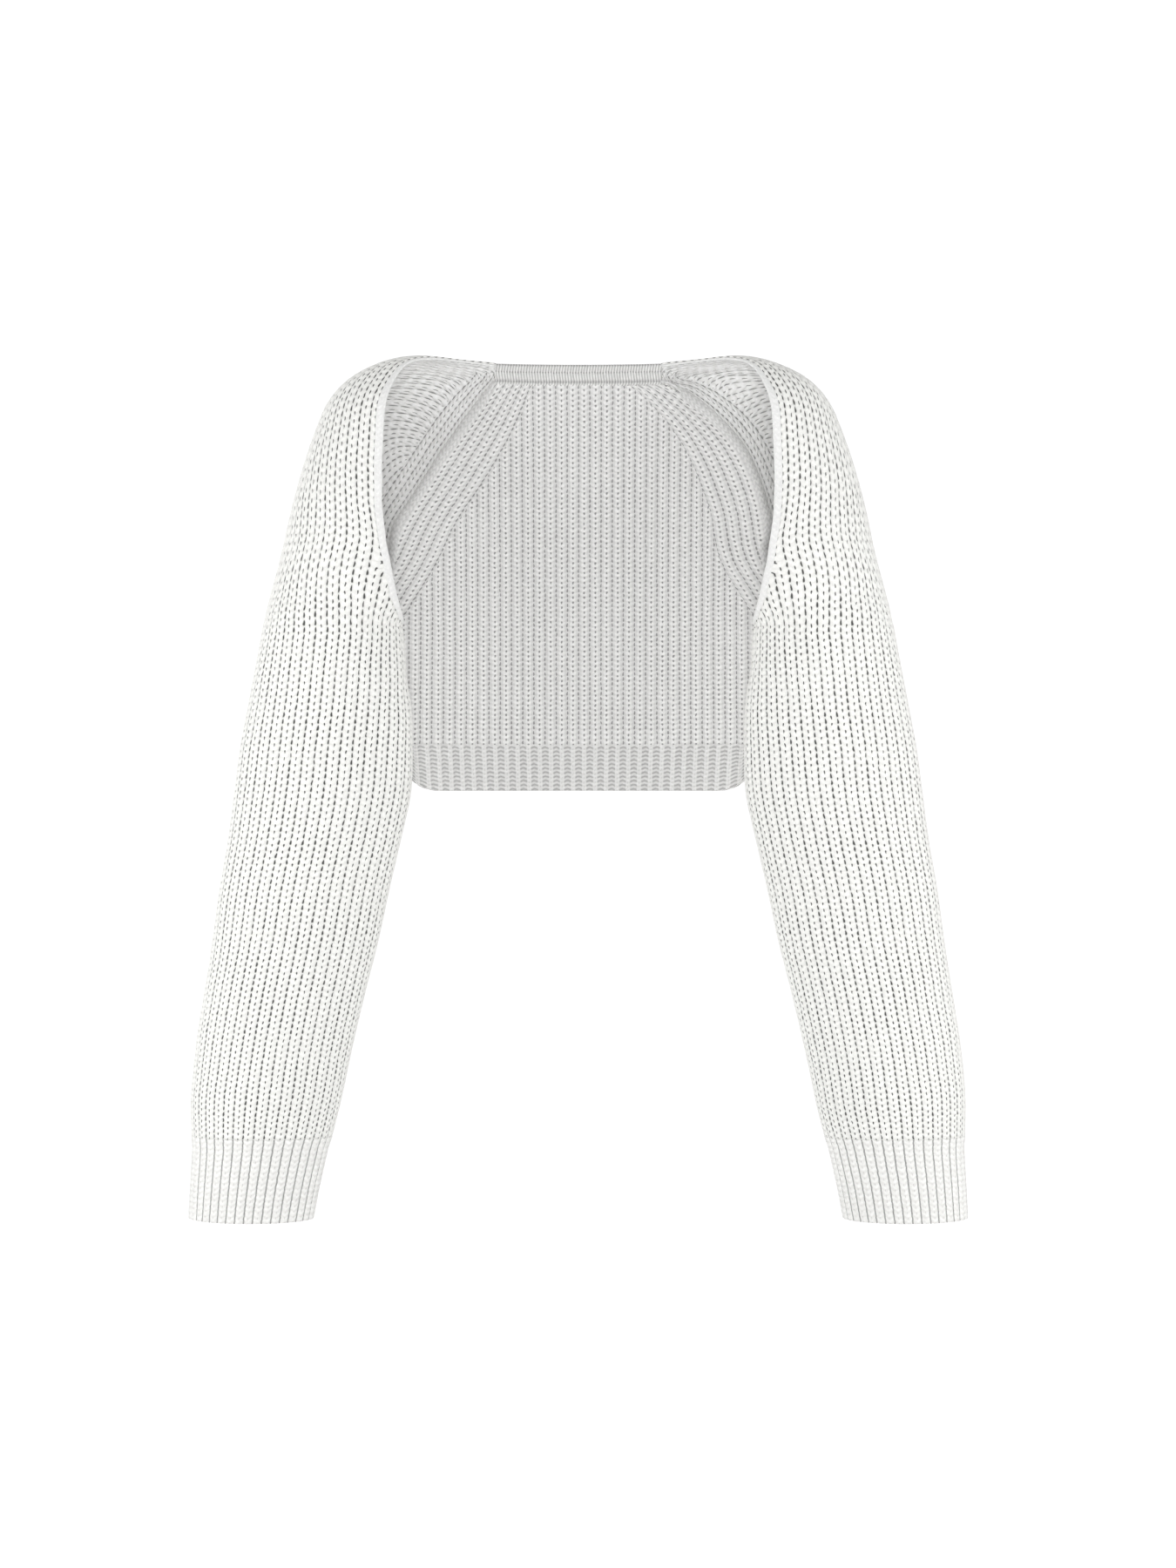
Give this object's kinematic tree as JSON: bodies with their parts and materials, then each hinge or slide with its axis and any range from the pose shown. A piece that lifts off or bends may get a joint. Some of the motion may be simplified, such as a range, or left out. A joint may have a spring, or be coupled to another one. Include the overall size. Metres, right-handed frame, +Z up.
{
  "type": "knitted shrug",
  "caption": "White fisherman's-rib knitted shrug with raglan long sleeves, rib cuffs and hem band, no fronts, filled out as if worn.",
  "frame": {"origin": "middle of the back neckband, half way up it, where the back of the wearer's neck and shoulders hold the shrug", "axes": "+Z up, the wearer faces -Y, so the back panel is towards +Y and the opening towards -Y; the wearer's left arm is on +X"},
  "size_m": [0.615, 0.1551, 0.6861],
  "materials": {
    "cream_rib_knit": "matt fisherman's rib, thick cotton-like yarn",
    "back_rib_knit": "matt fisherman's rib, the back's inner face shows",
    "neckband_knit": "matt fine rib, folded double",
    "hem_band_knit": "matt rib",
    "cuff_knit": "matt rib",
    "slipped_edge_knit": "matt slipped edge, smooth chain",
    "linked_seam_yarn": "matt linked seam"
  },
  "bodies": {
    "root": {"back_panel": "back_rib_knit", "hem_band": "hem_band_knit", "neckband": "neckband_knit", "sleeve_left": "cream_rib_knit", "sleeve_right": "cream_rib_knit", "cuff_left": "cuff_knit", "cuff_right": "cuff_knit", "front_edge_left": "slipped_edge_knit", "front_edge_right": "slipped_edge_knit", "raglan_seam_left": "linked_seam_yarn", "raglan_seam_right": "linked_seam_yarn"}
  },
  "joints": []
}
